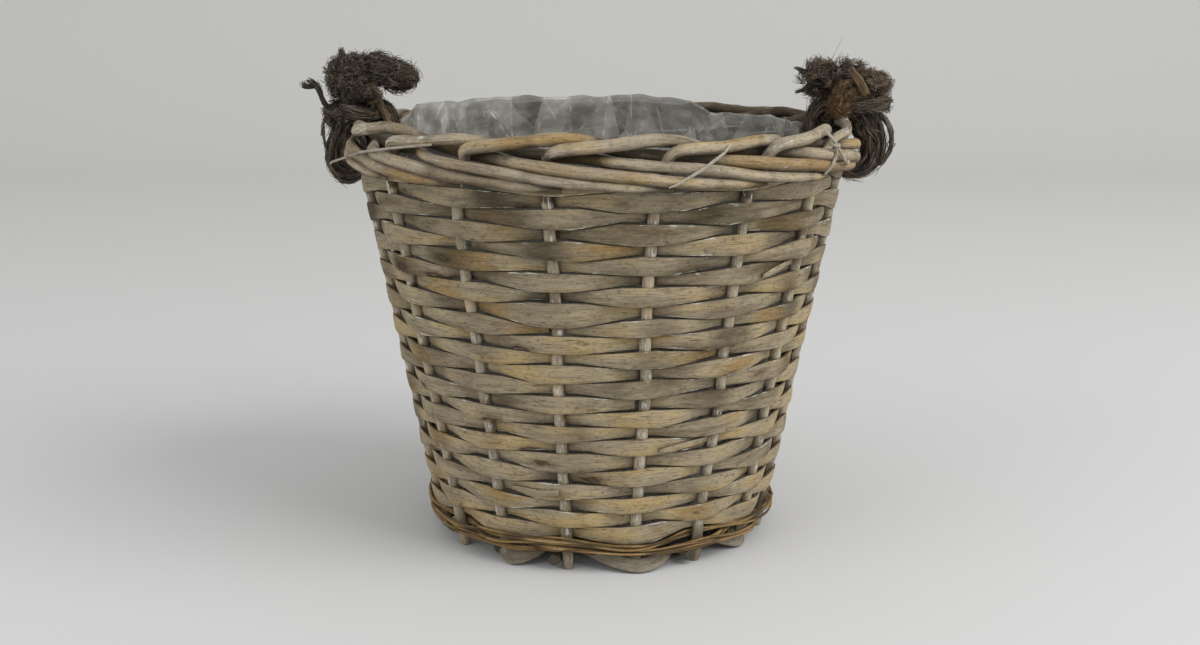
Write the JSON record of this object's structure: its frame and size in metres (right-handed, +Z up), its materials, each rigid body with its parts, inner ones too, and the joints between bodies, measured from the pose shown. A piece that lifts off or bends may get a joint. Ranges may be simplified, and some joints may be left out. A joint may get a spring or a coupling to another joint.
{
  "type": "wicker planter",
  "caption": "Round tapered planter woven from split willow, with a rolled rod border, two knotted rope ears and a clear film liner.",
  "frame": {"origin": "on the ground under the middle of the basket", "axes": "+Z up, +X towards the right rope ear, -Y towards the front of the pictured view"},
  "size_m": [0.2896, 0.2608, 0.2471],
  "materials": {
    "willow_rod": "weathered grey-brown peeled willow rod, matt",
    "split_willow": "weathered grey-brown split willow with dark grain and white wash residue, matt",
    "thin_willow": "thin round willow with orange-brown bark, satin",
    "base_stick_wood": "grey round stick with rough sawn ends, matt",
    "base_strip_wood": "grey-brown split willow, matt",
    "liner_film": "clear crumpled polythene film, glossy",
    "dark_rope": "dark brown natural fibre rope with frayed ends, dull"
  },
  "bodies": {
    "basket": {"stake_01": "willow_rod", "stake_02": "willow_rod", "stake_03": "willow_rod", "stake_04": "willow_rod", "stake_05": "willow_rod", "stake_06": "willow_rod", "stake_07": "willow_rod", "stake_08": "willow_rod", "stake_09": "willow_rod", "stake_10": "willow_rod", "stake_11": "willow_rod", "stake_12": "willow_rod", "stake_13": "willow_rod", "stake_14": "willow_rod", "stake_15": "willow_rod", "stake_16": "willow_rod", "weave_row_01": "split_willow", "weave_row_02": "split_willow", "weave_row_03": "split_willow", "weave_row_04": "split_willow", "weave_row_05": "split_willow", "weave_row_06": "split_willow", "weave_row_07": "split_willow", "weave_row_08": "split_willow", "weave_row_09": "split_willow", "weave_row_10": "split_willow", "weave_row_11": "split_willow", "weave_row_12": "split_willow", "weave_row_13": "split_willow", "weave_row_14": "split_willow", "weave_row_15": "split_willow", "weave_row_16": "split_willow", "weave_row_17": "split_willow", "weave_row_18": "split_willow", "weave_row_19": "split_willow", "weave_row_20": "split_willow", "weave_row_21": "split_willow", "weave_row_22": "split_willow", "weave_row_23": "split_willow", "rim_filler_front": "split_willow", "rim_filler_back": "split_willow", "wale_rod_1": "thin_willow", "wale_rod_2": "thin_willow", "wale_rod_3": "thin_willow", "base_stick_lower_1": "base_stick_wood", "base_stick_lower_2": "base_stick_wood", "base_stick_lower_3": "base_stick_wood", "base_stick_lower_4": "base_stick_wood", "base_stick_upper_1": "base_stick_wood", "base_stick_upper_2": "base_stick_wood", "base_stick_upper_3": "base_stick_wood", "base_stick_upper_4": "base_stick_wood", "base_weaver_a": "base_strip_wood", "base_weaver_b": "base_strip_wood", "film_liner": "liner_film"},
    "left_ear": {"left_rope_loop": "dark_rope", "left_rope_knot": "dark_rope"},
    "right_ear": {"right_rope_loop": "dark_rope", "right_rope_knot": "dark_rope"}
  },
  "joints": [
    {"name": "left_ear_swing", "type": "hinge", "parent": "basket", "child": "left_ear", "pos_m": [-0.12279, 0, 0.2071], "axis": [0, 1, 0], "range_deg": [-55, 30]},
    {"name": "right_ear_swing", "type": "hinge", "parent": "basket", "child": "right_ear", "pos_m": [0.12279, 0, 0.2071], "axis": [0, 1, 0], "range_deg": [-30, 55]}
  ]
}
